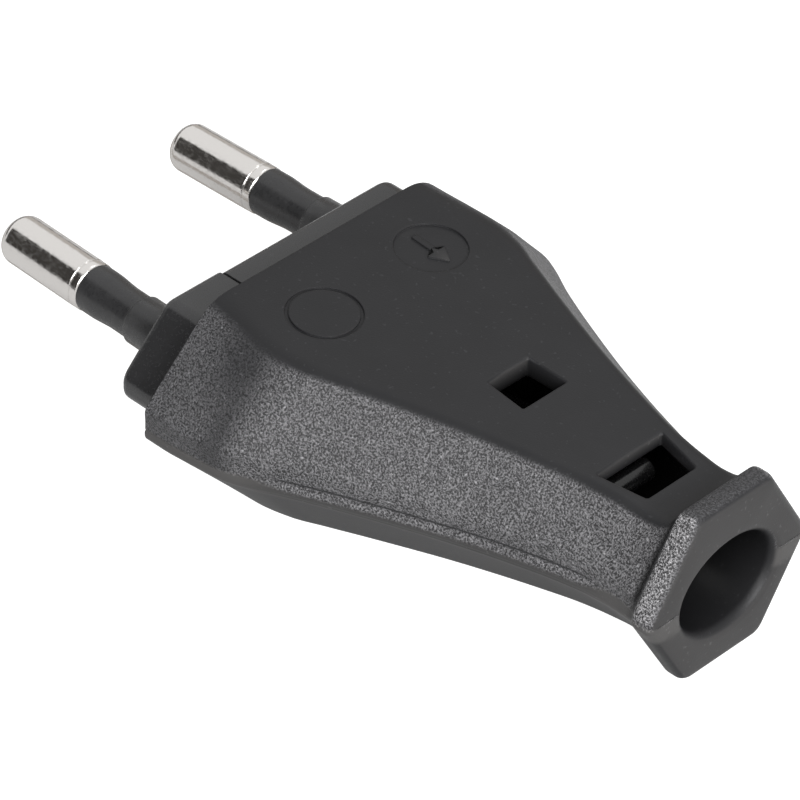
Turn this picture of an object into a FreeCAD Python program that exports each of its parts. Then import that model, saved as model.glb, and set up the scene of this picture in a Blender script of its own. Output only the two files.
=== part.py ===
"""Two-pole flat mains plug for a loose cable: hood, pin insert, sleeved pins and terminals.

Lengths are in millimetres. X runs from the pin tips to the cable end, Y across the pins,
Z up. Shapes are drawn with x = 0 on the engagement face and z = 0 on the pins' plane, and
place() moves them so that the middle of the resting plug's underside is the origin.
"""
import FreeCAD, Part
import math
import os
from FreeCAD import Vector

# Steps that a rolled-over edge is drawn in
EDGE_STEPS = 4

# Pins: diameter, reach, bare length and spacing of a standard 2.5 A flat plug
PIN_DIAMETER = 4.0
PIN_REACH = 19.0
PIN_BARE = 9.0
PIN_SPACING_FACE = 18.5
PIN_SPACING_TIP = 17.4
PIN_TIP_ROUND = 1.1
SHANK_DIAMETER = 2.6

# Sleeves
SLEEVE_DIAMETER = 3.8
SLEEVE_WAIST_DIAMETER = 3.55
COLLAR_DIAMETER = 3.95
COLLAR_REACH = 4.75
WAIST_LENGTH = 2.0
SLEEVE_EDGE = 0.1
SLEEVE_DEPTH = 4.0
SHOULDER_LENGTH = 0.35
SHOULDER_DROP = 0.25
LEAN_ROOM = 0.06
SLIP = 0.02

# Insert
NOSE_HALF_WIDTH = 15.65
NOSE_HALF_HEIGHT = 5.45
NOSE_TOP_HALF_WIDTH = 11.2
NOSE_BAND = 0.7
NOSE_TOP_ROUND = 1.6
NOSE_SIDE_ROUND = 1.2
NOSE_DEPTH = 10.6
NOSE_EDGE = 0.7
NOSE_STEP = 0.25
BEVEL_SHARE = 0.4
SPLIT_Y = -5.8
SPLIT_GAP = 0.2
FIT_GAP = 0.15
STOP_GAP = 0.2

# Hood: stations along X with half width at the seam, half width of the flat and roundings
RIM_X = 4.35
END_X = 45.3
TOP_AT_ZERO = 8.04
TOP_SLOPE = 0.069
SEAM_BAND = 1.3
HOOD = (
    (RIM_X, 17.5, 10.9, 4.0),
    (6.0, 17.5, 11.05, 3.8),
    (8.0, 17.35, 11.3, 3.5),
    (11.0, 17.0, 11.55, 2.8),
    (13.5, 16.15, 11.2, 2.1),
    (16.0, 14.9, 10.3, 1.6),
    (20.0, 13.1, 8.85, 1.3),
    (26.0, 10.7, 6.85, 1.2),
    (32.0, 8.7, 5.2, 1.2),
    (36.0, 7.6, 4.3, 1.2),
    (38.5, 7.15, 4.0, 1.2),
    (40.3, 7.05, 3.9, 1.2),
)
SEAM_ROUND = 0.9

# Cable-end flange
FLANGE_HALF_WIDTH = 8.2
FLANGE_HALF_HEIGHT = 7.3
FLANGE_TOP_HALF_WIDTH = 3.96
FLANGE_BAND = 0.5
FLANGE_THICKNESS = 1.8
FLANGE_EDGE = 0.6
FLANGE_ROUND = 1.2
SWELL = ((0.0, 0.0), (0.35, 0.05), (0.62, 0.2), (0.82, 0.48), (0.94, 0.8), (1.0, 0.98))

# Cable inlet
INLET_HALF_WIDTH = 4.75
INLET_HALF_HEIGHT = 3.75
INLET_Z = -0.4
INLET_FLARE = 0.7
INLET_FLARE_DEPTH = 1.4
FLARE_STEPS = 4
OVERRUN = 0.01

# Hood cavity: stations with half width, half width of its flat and half height
CAVITY_BAND = 0.6
CAVITY_TOP_ROUND = 1.0
CAVITY_SIDE_ROUND = 0.6
CAVITY = (
    (NOSE_DEPTH + STOP_GAP, 14.9, 9.6, 5.1),
    (13.5, 13.8, 9.2, 5.0),
    (20.0, 11.1, 8.0, 4.9),
    (26.0, 8.8, 6.1, 4.75),
    (32.0, 6.9, 4.6, 4.6),
    (36.0, 5.9, 3.9, 4.5),
    (40.0, 5.2, 3.6, 4.4),
)

# Windows in the hood's top: front x, rear x, half widths at front and rear
SMALL_WINDOW = (23.53, 27.12, 2.05, 2.23)
LARGE_WINDOW = (35.31, 39.33, 3.4, 2.5)

# Shallow moulding marks on the hood's top: centre x, centre y, radius, depth
RING_MARK = (10.62, -5.65, 2.9, 0.15)
RING_LINE = 0.28
DISC_MARK = (10.4, 5.63, 2.8, 0.15)
POINTER_START = -1.8
POINTER_NECK = 0.5
POINTER_TIP = 1.9
POINTER_WIDTH = 0.5
POINTER_HEAD_HALF_WIDTH = 0.9

# Insert's tongue, ending in a round bar that presses on the cable
BAR_X = 35.0
BAR_Z = 2.8
BAR_RADIUS = 0.9
TONGUE_HALF_WIDTH = 2.3
TONGUE_THICKNESS = 1.3

# Terminals
BLOCK_SIZE = 5.2
BLOCK_START = 4.6
BLOCK_LENGTH = 5.6
WIRE_HOLE_DIAMETER = 2.8
CHAMBER_SIZE = 6.4
SCREW_X = 7.6
SCREW_DIAMETER = 2.5
SCREW_HEAD_DIAMETER = 4.0
SCREW_HEAD_HEIGHT = 1.4
SCREW_TIP_Z = 0.9
SLOT_WIDTH = 0.6
SLOT_DEPTH = 0.7

PIN_RADIUS = PIN_DIAMETER / 2
PIN_LEAN = math.degrees(math.atan((PIN_SPACING_FACE - PIN_SPACING_TIP) / 2 / PIN_REACH))
X_AXIS = Vector(1, 0, 0)
Z_AXIS = Vector(0, 0, 1)
ORIGIN = Vector((PIN_REACH - END_X) / 2, 0, TOP_AT_ZERO - TOP_SLOPE * RIM_X)


def rounded_ring(corners, radii):
    """Closed wire through the corners, each turned into a tangent arc."""
    count = len(corners)
    edges, starts, ends = [], [], []
    for i in range(count):
        corner = corners[i]
        back = (corners[i - 1] - corner).normalize()
        ahead = (corners[(i + 1) % count] - corner).normalize()
        half = back.getAngle(ahead) / 2
        start = corner + back * (radii[i] / math.tan(half))
        end = corner + ahead * (radii[i] / math.tan(half))
        middle = corner + (back + ahead).normalize() * (radii[i] / math.sin(half) - radii[i])
        edges.append(Part.Arc(start, middle, end).toShape())
        starts.append(start)
        ends.append(end)
    for i in range(count):
        edges.append(Part.makeLine(ends[i], starts[(i + 1) % count]))
    return Part.Wire(Part.__sortEdges__(edges))


def section(x, half_width, flat, half_height, band, round_top, round_side):
    """Six-sided outline across the plug at x, with a short upright band at its points."""
    corners = [
        Vector(x, flat, half_height), Vector(x, half_width, band),
        Vector(x, half_width, -band), Vector(x, flat, -half_height),
        Vector(x, -flat, -half_height), Vector(x, -half_width, -band),
        Vector(x, -half_width, band), Vector(x, -flat, half_height),
    ]
    side = [round_top, round_side, round_side, round_top]
    return rounded_ring(corners, side + side)


def hood_top(x):
    return TOP_AT_ZERO - TOP_SLOPE * x


def block(x0, x1, y0, y1, z0, z1):
    return Part.makeBox(x1 - x0, y1 - y0, z1 - z0, Vector(x0, y0, z0))


def rod(radius, x0, x1, y=0.0, z=0.0):
    return Part.makeCylinder(radius, x1 - x0, Vector(x0, y, z), X_AXIS)


def turned(profile):
    """Solid turned about the X axis from (x, radius) points."""
    points = [Vector(x, 0, r) for x, r in profile]
    face = Part.Face(Part.makePolygon(points + points[:1]))
    return face.revolve(Vector(0, 0, 0), X_AXIS, 360)


def quarter_round(radius, steps):
    """Points of a rounded edge as (distance from the end, drop from the full size)."""
    turns = [math.pi / 2 * i / steps for i in range(steps + 1)]
    return [(radius * (1 - math.cos(turn)), radius * (1 - math.sin(turn))) for turn in turns]


def nose_outline(x, grow):
    return section(x, NOSE_HALF_WIDTH + grow, NOSE_TOP_HALF_WIDTH + grow * BEVEL_SHARE,
                   NOSE_HALF_HEIGHT + grow, NOSE_BAND, NOSE_TOP_ROUND, NOSE_SIDE_ROUND)


def nose_prism(x0, x1, grow=0.0):
    return Part.Face(nose_outline(x0, grow)).extrude(Vector(x1 - x0, 0, 0))


def eased_nose(front, back):
    """Nose with its front edge rolled over in a quarter round."""
    wires = [nose_outline(front + along, -drop) for along, drop in quarter_round(NOSE_EDGE, EDGE_STEPS)]
    return Part.makeLoft(wires, True, True).fuse(nose_prism(front + NOSE_EDGE, back))


def hood_outside():
    wires = [section(x, width, flat, hood_top(x), SEAM_BAND, top, SEAM_ROUND)
             for x, width, flat, top in HOOD]
    return Part.makeLoft(wires, True, True)


def swell():
    """Neck growing in a hollow curve up to the flange's crest."""
    neck_x, neck_width, neck_flat = HOOD[-1][:3]
    neck_top = hood_top(neck_x)
    wires = []
    for along, out in SWELL:
        x = neck_x + (END_X - FLANGE_THICKNESS - neck_x) * along
        wires.append(section(x, neck_width + (FLANGE_HALF_WIDTH - neck_width) * out,
                             neck_flat + (FLANGE_TOP_HALF_WIDTH - neck_flat) * out,
                             neck_top + (FLANGE_HALF_HEIGHT - neck_top) * out,
                             SEAM_BAND + (FLANGE_BAND - SEAM_BAND) * out,
                             FLANGE_ROUND, SEAM_ROUND))
    return Part.makeLoft(wires, True, True)


def flange_outline(x, drop):
    return section(x, FLANGE_HALF_WIDTH - drop, FLANGE_TOP_HALF_WIDTH - drop * BEVEL_SHARE,
                   FLANGE_HALF_HEIGHT - drop, FLANGE_BAND, FLANGE_ROUND, SEAM_ROUND)


def flange():
    """Six-sided end flange, its front edge eased a little and its rear edge rolled over."""
    crest_x = END_X - FLANGE_THICKNESS
    crest_drop = (FLANGE_HALF_WIDTH - HOOD[-1][1]) * (1 - SWELL[-1][1])
    wires = [flange_outline(crest_x, crest_drop), flange_outline(crest_x + FLANGE_EDGE / 2, 0)]
    for along, drop in reversed(quarter_round(FLANGE_EDGE, EDGE_STEPS - 1)):
        wires.append(flange_outline(END_X - along, drop))
    return Part.makeLoft(wires, True, True)


def ellipse_ring(x, half_width, half_height):
    curve = Part.Ellipse(Vector(x, half_width, INLET_Z), Vector(x, 0, INLET_Z + half_height),
                         Vector(x, 0, INLET_Z))
    return Part.Wire(curve.toShape())


def inlet():
    """Oval cable hole with a bell mouth in the flange's end face."""
    throat = Part.Face(ellipse_ring(CAVITY[-1][0] - 0.5, INLET_HALF_WIDTH, INLET_HALF_HEIGHT))
    bore = throat.extrude(Vector(END_X - CAVITY[-1][0] + 1, 0, 0))
    mouth = []
    for step in range(FLARE_STEPS + 1):
        share = step / FLARE_STEPS
        grow = INLET_FLARE * share * share
        mouth.append(ellipse_ring(END_X - INLET_FLARE_DEPTH * (1 - share) + OVERRUN * share,
                                  INLET_HALF_WIDTH + grow, INLET_HALF_HEIGHT + grow))
    return bore.fuse(Part.makeLoft(mouth, True))


def window(front, rear, half_front, half_rear):
    points = [Vector(front, -half_front, 0), Vector(rear, -half_rear, 0),
              Vector(rear, half_rear, 0), Vector(front, half_front, 0)]
    face = Part.Face(Part.makePolygon(points + points[:1]))
    return face.extrude(Vector(0, 0, TOP_AT_ZERO))


def on_top(shape, x, y):
    """Turns a shape drawn about the origin to lie on the hood's sloping top at (x, y)."""
    shape.rotate(Vector(0, 0, 0), Vector(0, 1, 0), math.degrees(math.atan(TOP_SLOPE)))
    shape.translate(Vector(x, y, hood_top(x)))
    return shape


def ring_mark():
    x, y, radius, depth = RING_MARK
    ring = Part.makeCylinder(radius, 2, Vector(0, 0, -depth))
    return on_top(ring.cut(Part.makeCylinder(radius - RING_LINE, 2, Vector(0, 0, -depth))), x, y)


def disc_mark():
    """Round recess with a raised pointer across it."""
    x, y, radius, depth = DISC_MARK
    disc = Part.makeCylinder(radius, 2, Vector(0, 0, -depth))
    half = POINTER_WIDTH / 2
    shaft = block(POINTER_START, POINTER_NECK, -half, half, -depth, 0)
    corners = [Vector(POINTER_NECK, -POINTER_HEAD_HALF_WIDTH, -depth), Vector(POINTER_TIP, 0, -depth),
               Vector(POINTER_NECK, POINTER_HEAD_HALF_WIDTH, -depth)]
    head = Part.Face(Part.makePolygon(corners + corners[:1])).extrude(Vector(0, 0, depth))
    return on_top(disc.cut(shaft.fuse(head)), x, y)


def make_housing():
    outside = hood_outside().fuse(swell()).fuse(flange())
    hollow = Part.makeLoft([section(x, width, flat, height, CAVITY_BAND, CAVITY_TOP_ROUND,
                                    CAVITY_SIDE_ROUND)
                            for x, width, flat, height in CAVITY], True, True)
    shape = outside.cut(nose_prism(RIM_X - 1, NOSE_DEPTH + 2 * STOP_GAP, FIT_GAP))
    shape = shape.cut(hollow).cut(inlet())
    for opening in (window(*SMALL_WINDOW), window(*LARGE_WINDOW), ring_mark(), disc_mark()):
        shape = shape.cut(opening)
    return shape


def nose_half(y0, y1, front):
    """Part of the nose between two planes across Y, hollowed for its pin and terminal."""
    slab = block(front - 1, NOSE_DEPTH + 1, y0, y1, -NOSE_HALF_WIDTH, NOSE_HALF_WIDTH)
    return eased_nose(front, NOSE_DEPTH).common(slab)


def pin_line(shape, side):
    """Leans a shape drawn along the X axis into the line of the left (-1) or right (1) pin."""
    shape.rotate(Vector(0, 0, 0), Z_AXIS, side * PIN_LEAN)
    shape.translate(Vector(0, side * PIN_SPACING_FACE / 2, 0))
    return shape


def pin_room(side):
    """Space in the insert for a sleeve, a terminal block and the way down to its screw."""
    room = rod(SLEEVE_DIAMETER / 2 + SLIP, -PIN_RADIUS, SLEEVE_DEPTH)
    room = room.fuse(rod(SHANK_DIAMETER / 2 + SLIP, 0, BLOCK_START))
    half = CHAMBER_SIZE / 2
    room = room.fuse(block(BLOCK_START, NOSE_DEPTH + 1, -half, half, -BLOCK_SIZE / 2, NOSE_HALF_HEIGHT + 1))
    return pin_line(room, side)


def tongue():
    """Strip rising from the middle of the insert's back to the bar at its end."""
    half = TONGUE_THICKNESS / 2
    side = Vector(0, TONGUE_HALF_WIDTH, 0)
    points = [Vector(NOSE_DEPTH - 1, 0, -half) - side, Vector(BAR_X, 0, BAR_Z - half) - side,
              Vector(BAR_X, 0, BAR_Z + half) - side, Vector(NOSE_DEPTH - 1, 0, half) - side]
    strip = Part.Face(Part.makePolygon(points + points[:1])).extrude(side * 2)
    bar = Part.makeCylinder(BAR_RADIUS, side.Length * 2, Vector(BAR_X, 0, BAR_Z) - side, side)
    return strip.fuse(bar)


def make_carrier():
    return nose_half(SPLIT_Y + SPLIT_GAP / 2, NOSE_HALF_WIDTH + 1, 0).cut(pin_room(1)).fuse(tongue())


def make_left_block():
    return nose_half(-NOSE_HALF_WIDTH - 1, SPLIT_Y - SPLIT_GAP / 2, -NOSE_STEP).cut(pin_room(-1))


def make_pin(side):
    """Bare contact end, thin shank inside the sleeve and a terminal block with a wire hole."""
    bare_end = -PIN_REACH + PIN_BARE
    profile = [(-PIN_REACH, 0)]
    profile += [(-PIN_REACH + along, PIN_RADIUS - drop)
                for along, drop in quarter_round(PIN_TIP_ROUND, EDGE_STEPS)]
    profile += [(bare_end - SHOULDER_LENGTH, PIN_RADIUS), (bare_end, PIN_RADIUS - SHOULDER_DROP),
                (bare_end, SHANK_DIAMETER / 2), (BLOCK_START, SHANK_DIAMETER / 2), (BLOCK_START, 0)]
    pin = turned(profile)
    half = BLOCK_SIZE / 2
    pin = pin.fuse(block(BLOCK_START, BLOCK_START + BLOCK_LENGTH, -half, half, -half, half))
    pin = pin.cut(rod(WIRE_HOLE_DIAMETER / 2, BLOCK_START + 1, BLOCK_START + BLOCK_LENGTH + 1))
    pin = pin.cut(Part.makeCylinder(SCREW_DIAMETER / 2 + SLIP, half + 1, Vector(SCREW_X, 0, 0)))
    return pin_line(pin, side)


def make_sleeve(side):
    """Insulating tube with a slight waist and a collar against the engagement face."""
    bore = SHANK_DIAMETER / 2 + SLIP
    outer, waist, collar = SLEEVE_DIAMETER / 2, SLEEVE_WAIST_DIAMETER / 2, COLLAR_DIAMETER / 2
    face = -LEAN_ROOM - (NOSE_STEP if side < 0 else 0)
    start = -PIN_REACH + PIN_BARE
    tube = turned([(start, bore), (start, outer - SLEEVE_EDGE), (start + SLEEVE_EDGE, outer),
                   (-COLLAR_REACH - WAIST_LENGTH, waist), (-COLLAR_REACH, waist),
                   (-COLLAR_REACH, collar - SLEEVE_EDGE), (-COLLAR_REACH + SLEEVE_EDGE, collar),
                   (face, collar), (face, outer), (SLEEVE_DEPTH, outer), (SLEEVE_DEPTH, bore)])
    return pin_line(tube, side)


def make_screw(side):
    radius, half = SCREW_DIAMETER / 2, BLOCK_SIZE / 2
    screw = Part.makeCylinder(radius, half - SCREW_TIP_Z, Vector(0, 0, SCREW_TIP_Z))
    head = Part.makeCylinder(SCREW_HEAD_DIAMETER / 2, SCREW_HEAD_HEIGHT, Vector(0, 0, half))
    slot = Part.makeBox(SCREW_HEAD_DIAMETER, SLOT_WIDTH, SLOT_DEPTH,
                        Vector(-SCREW_HEAD_DIAMETER / 2, -SLOT_WIDTH / 2,
                               half + SCREW_HEAD_HEIGHT - SLOT_DEPTH))
    screw = screw.fuse(head).cut(slot)
    screw.translate(Vector(SCREW_X, 0, 0))
    return pin_line(screw, side)


def make_terminal_screws():
    return Part.makeCompound([make_screw(-1), make_screw(1)])


def place(shape):
    shape.translate(ORIGIN)
    return shape


def main():
    parts = {
        "housing": make_housing(),
        "carrier": make_carrier(),
        "left_pin_block": make_left_block(),
        "left_pin": make_pin(-1),
        "right_pin": make_pin(1),
        "left_pin_sleeve": make_sleeve(-1),
        "right_pin_sleeve": make_sleeve(1),
        "terminal_screws": make_terminal_screws(),
    }
    os.makedirs("parts", exist_ok=True)
    for name, shape in parts.items():
        place(shape)
        shape.exportStep("parts/" + name + ".step")
        print(name, shape.ShapeType, "valid", shape.isValid(), "solids", len(shape.Solids),
              "volume", round(shape.Volume, 1), shape.BoundBox)


main()
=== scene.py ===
# %% [markdown]
# # A two-pole flat mains plug
# The plug is a dark moulded hood, open at the front for an insert that carries two sleeved
# pins, and flanged at the back round the hole where a flex would go in. The solids come from
# the construction model. This file dresses them: it rebuilds the smooth mouldings and turned
# parts finely, gives every surface its finish, and lights and frames them as in the photograph.

# %% Load the frame and note its box
import math
import bpy
import bmesh
import numpy as np
from mathutils import Matrix, Quaternion, Vector


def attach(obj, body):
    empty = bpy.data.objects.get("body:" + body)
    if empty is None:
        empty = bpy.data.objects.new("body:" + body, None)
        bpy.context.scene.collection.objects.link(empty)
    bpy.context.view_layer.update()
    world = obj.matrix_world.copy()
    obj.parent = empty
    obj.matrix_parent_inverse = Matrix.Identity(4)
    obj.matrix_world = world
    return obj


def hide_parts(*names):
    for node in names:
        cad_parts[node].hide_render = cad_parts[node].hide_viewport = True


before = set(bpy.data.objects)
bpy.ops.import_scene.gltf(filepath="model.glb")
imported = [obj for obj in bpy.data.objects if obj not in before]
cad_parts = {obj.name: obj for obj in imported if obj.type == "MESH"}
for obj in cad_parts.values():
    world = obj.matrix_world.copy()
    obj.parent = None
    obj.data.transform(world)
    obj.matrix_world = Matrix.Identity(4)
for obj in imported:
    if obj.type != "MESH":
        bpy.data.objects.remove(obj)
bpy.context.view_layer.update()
print("nodes:", sorted(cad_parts))

MM = 0.001
REACH = 19.0
END_X = 45.3
TOP_AT_FACE = 8.04
TOP_SLOPE = 0.069
RIM_X = 4.35
ORIGIN = Vector(((REACH - END_X) / 2, 0, TOP_AT_FACE - TOP_SLOPE * RIM_X))


def top_height(x):
    """Height of the hood's flat top above the pins' plane, in millimetres."""
    return TOP_AT_FACE - TOP_SLOPE * x


# %% [markdown]
# ## Camera
# The photograph was taken from the cable end's side, well above, with a long lens: edges that
# are parallel on the plug are nearly parallel in the picture. An azimuth and an elevation place
# such a camera, a target sets what it points at, and a small roll tilts the picture.

# %% Camera at the photograph's angle
AZIMUTH, ELEVATION, ROLL = 42.936, 38.023, 2.22
LENS, SENSOR_WIDTH, DISTANCE = 247.47, 36, 0.40198
TARGET = Vector((0.000687, -0.000784, 0.0063))

az, el = math.radians(AZIMUTH), math.radians(ELEVATION)
backwards = Vector((math.sin(az) * math.cos(el), -math.cos(az) * math.cos(el), math.sin(el)))
camera_data = bpy.data.cameras.new("photo_camera")
camera_data.lens = LENS
camera_data.sensor_width = SENSOR_WIDTH
camera_data.clip_start = 0.01
camera = bpy.data.objects.new("photo_camera", camera_data)
bpy.context.collection.objects.link(camera)
camera.location = TARGET + backwards * DISTANCE
camera.rotation_mode = "QUATERNION"
camera.rotation_quaternion = (backwards.to_track_quat("Z", "Y")
                              @ Quaternion((0, 0, 1), math.radians(ROLL)))
bpy.context.scene.camera = camera
bpy.context.scene.view_settings.view_transform = "Standard"
print("camera at", tuple(round(v, 4) for v in camera.location))


# %% [markdown]
# ## Floor and surroundings
# The picture has a plain white ground. A floor that only reflected the lamps would need so much
# light that the plug washed out, so the floor and the world show white to the camera through the
# Light Path node, and light the plug gently. The floor still takes the plug's soft shadow.

# %% White floor and world
WORLD_LIGHT, WORLD_IN_GLOSS = 0.30, 0.82
FLOOR_GLOW, FLOOR_GLOW_IN_GLOSS = 0.95, 0.29
FLOOR_GREY, FLOOR_HALF = 0.40, 1.2
WHITE = (1, 1, 1, 1)


def new_material(name):
    material = bpy.data.materials.new(name)
    material.use_nodes = True
    tree = material.node_tree
    tree.nodes.clear()
    return material, tree


def feed(tree, socket, value):
    """Links another node's output to the socket, or sets it to a plain value."""
    if isinstance(value, bpy.types.NodeSocket):
        tree.links.new(value, socket)
    else:
        socket.default_value = value


def add(tree, kind, **settings):
    """Adds a node; a setting named after an input feeds that input, any other the node."""
    node = tree.nodes.new(kind)
    for key, value in settings.items():
        if key in node.inputs:
            feed(tree, node.inputs[key], value)
        else:
            setattr(node, key, value)
    return node


def maths(tree, operation, *values):
    """Output of a Math node that works on numbers or other nodes' outputs."""
    node = add(tree, "ShaderNodeMath", operation=operation)
    for socket, value in zip(node.inputs, values):
        feed(tree, socket, value)
    return node.outputs[0]


def mesh_object(name, vertices, faces):
    mesh = bpy.data.meshes.new(name)
    mesh.from_pydata(vertices, [], faces)
    mesh.update()
    thing = bpy.data.objects.new(name, mesh)
    bpy.context.collection.objects.link(thing)
    return thing


def seen_white(tree, seen, mirrored):
    """Strength for what the camera sees itself, and for what it sees mirrored or through glass."""
    path = add(tree, "ShaderNodeLightPath")
    bounced = maths(tree, "MAXIMUM", path.outputs["Is Glossy Ray"],
                    path.outputs["Is Transmission Ray"])
    direct = maths(tree, "MULTIPLY", path.outputs["Is Camera Ray"], seen)
    return maths(tree, "MAXIMUM", maths(tree, "MULTIPLY", bounced, mirrored), direct)


world = bpy.data.worlds.new("studio_world")
world.use_nodes = True
bpy.context.scene.world = world
tree = world.node_tree
tree.nodes.clear()
white = add(tree, "ShaderNodeBackground", Color=WHITE, Strength=1.0)
soft = add(tree, "ShaderNodeBackground", Color=WHITE, Strength=WORLD_LIGHT)
mix = add(tree, "ShaderNodeMixShader", Fac=seen_white(tree, 1.0, WORLD_IN_GLOSS))
feed(tree, mix.inputs[1], soft.outputs[0])
feed(tree, mix.inputs[2], white.outputs[0])
add(tree, "ShaderNodeOutputWorld", Surface=mix.outputs[0])

floor_paint, tree = new_material("floor_paint")
diffuse = add(tree, "ShaderNodeBsdfDiffuse", Color=(FLOOR_GREY, FLOOR_GREY, FLOOR_GREY, 1))
glow = add(tree, "ShaderNodeEmission", Color=WHITE,
           Strength=seen_white(tree, FLOOR_GLOW, FLOOR_GLOW_IN_GLOSS))
total = add(tree, "ShaderNodeAddShader")
feed(tree, total.inputs[0], diffuse.outputs[0])
feed(tree, total.inputs[1], glow.outputs[0])
add(tree, "ShaderNodeOutputMaterial", Surface=total.outputs[0])

floor = mesh_object("studio_floor", [(-FLOOR_HALF, -FLOOR_HALF, 0), (FLOOR_HALF, -FLOOR_HALF, 0),
                                     (FLOOR_HALF, FLOOR_HALF, 0), (-FLOOR_HALF, FLOOR_HALF, 0)],
                    [(0, 1, 2, 3)])
floor.data.materials.append(floor_paint)
print("floor", FLOOR_HALF * 2, "m square")


# %% [markdown]
# ## Lamps
# Big soft lamps close to the plug act as a photographer's light boxes. The brightest faces the
# cable end, a second stands on the near left, and together they make the sloping sides lighter
# than the flat top. A weak one hangs overhead.

# %% Light boxes
MIDDLE = Vector((0, 0, 0.007))


def light_box(name, azimuth, elevation, size, power, distance=0.45):
    """Square lamp aimed at the plug's middle from a direction given in degrees."""
    a, e = math.radians(azimuth), math.radians(elevation)
    way = Vector((math.sin(a) * math.cos(e), -math.cos(a) * math.cos(e), math.sin(e)))
    data = bpy.data.lights.new(name, "AREA")
    data.size = size
    data.energy = power
    lamp = bpy.data.objects.new(name, data)
    bpy.context.collection.objects.link(lamp)
    lamp.location = way * distance + MIDDLE
    lamp.rotation_mode = "QUATERNION"
    lamp.rotation_quaternion = way.to_track_quat("Z", "Y")
    print(name, "power", power)


light_box("near_left_box", azimuth=24, elevation=38, size=0.28, power=1.22)
light_box("cable_end_box", azimuth=74, elevation=28, size=0.24, power=2.1)
light_box("overhead_box", azimuth=186, elevation=62, size=0.10, power=0.24)


# %% [markdown]
# A mirror-like pin in an all-white room would vanish against the white ground. Photographers
# stand a black card beside such a thing, and its reflection draws the dark stripe that makes
# metal look like metal. The black card stands beyond the pins on the near side, with its foot
# spread on the floor. A grey one behind them softens their far edge, a low dark strip outlines
# their rounded tips, and a grey card on the floor under each pin is a painted shadow of the plug
# there. Only glossy rays meet these cards, so they neither shade the plug nor show in any view.

# %% Reflection cards
BLACK, DARK, GREY, PIN_SHADOW_GREY = 0.05, 0.10, 0.50, 0.40
CARD_WAY = Vector((-0.5366, -0.5767, 0.6160))
CARD_DISTANCE, CARD_HALF_WIDTH, CARD_LOW, CARD_HIGH = 0.30, 0.17, -47, 18
STRIP, STRIP_HEIGHT = [(-0.40, -0.16), (-0.40, 0.31), (0.12, 0.31)], 0.11
CARD_LIFT = 0.0003


def card(name, corners, shade):
    """Glossy-only surface; corners run along its lower edge and back along its upper edge."""
    paint, tree = new_material(name + "_paint")
    glow = add(tree, "ShaderNodeEmission", Color=(shade, shade * 0.95, shade * 0.9, 1),
               Strength=1.0)
    add(tree, "ShaderNodeOutputMaterial", Surface=glow.outputs[0])
    half = len(corners) // 2
    faces = [(i, i + 1, 2 * half - 2 - i, 2 * half - 1 - i) for i in range(half - 1)]
    thing = mesh_object(name, corners, faces)
    thing.data.materials.append(paint)
    thing.visible_camera = False
    thing.visible_diffuse = False
    thing.visible_shadow = False
    thing.visible_transmission = False
    print(name, "shade", shade)


def about_pin(turn, shift):
    """Point of the black card, swung about the pins' line by an angle and moved along it."""
    way = Matrix.Rotation(math.radians(-turn), 3, "X") @ CARD_WAY
    return way * CARD_DISTANCE + MIDDLE + Vector((shift, 0, 0))


def floor_card(name, x_range, y_range, shade):
    (x0, x1), (y0, y1) = x_range, y_range
    card(name, [(x0, y0, CARD_LIFT), (x1, y0, CARD_LIFT), (x1, y1, CARD_LIFT),
                (x0, y1, CARD_LIFT)], shade)


card("black_card", [about_pin(CARD_LOW, -CARD_HALF_WIDTH), about_pin(CARD_LOW, CARD_HALF_WIDTH),
                    about_pin(CARD_HIGH, CARD_HALF_WIDTH), about_pin(CARD_HIGH, -CARD_HALF_WIDTH)],
     BLACK)
floor_card("card_foot", (-0.36, 0.06), (-0.32, -0.10), BLACK)
card("grey_card", [(-0.45, 0.30, 0.03), (0.12, 0.30, 0.03), (0.12, 0.30, 0.19),
                   (-0.45, 0.30, 0.19)], GREY)
card("low_strip", [(x, y, 0.0) for x, y in STRIP] + [(x, y, STRIP_HEIGHT) for x, y in STRIP[::-1]],
     DARK)
# Painted shadow: a grey card on the floor under each pin stands for the plug's shadow there, which
# only the pins mirror.
for name, y in (("left", -0.0085), ("right", 0.0085)):
    floor_card(name + "_pin_shade", (-0.060, -0.015), (y - 0.001, y + 0.007), PIN_SHADOW_GREY)


# %% [markdown]
# ## Grain and scuffs
# Moulded plastic is never one flat tone. The sloping sides carry the coarse spark-eroded grain of
# the mould, the other faces a fine satin one with a few specks, and edges are rubbed smooth. Two
# shader groups give these effects to any material that asks for them: one makes grain, as a
# value and a bumped normal, and one makes faint cloudy tone with scattered specks.

# %% Helpers for shader trees
def new_group(name, inputs, outputs):
    """Empty shader group with (name, type, default) inputs and (name, type) outputs."""
    group = bpy.data.node_groups.new(name, "ShaderNodeTree")
    for label, kind, value in inputs:
        socket = group.interface.new_socket(name=label, in_out="INPUT", socket_type=kind)
        if value is not None:
            socket.default_value = value
    for label, kind in outputs:
        group.interface.new_socket(name=label, in_out="OUTPUT", socket_type=kind)
    given = group.nodes.new("NodeGroupInput")
    return group, given.outputs, group.nodes.new("NodeGroupOutput").inputs


def between(tree, value, low, high, start=0.0, end=1.0):
    """Output that goes from low to high while the value goes from start to end."""
    node = add(tree, "ShaderNodeMapRange", Value=value,
               **{"From Min": start, "From Max": end, "To Min": low, "To Max": high})
    return node.outputs[0]


def scaled_colour(tree, colour, factor):
    node = add(tree, "ShaderNodeVectorMath", operation="SCALE", Scale=factor)
    feed(tree, node.inputs[0], colour)
    return node.outputs[0]


print("helpers ready")


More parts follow.
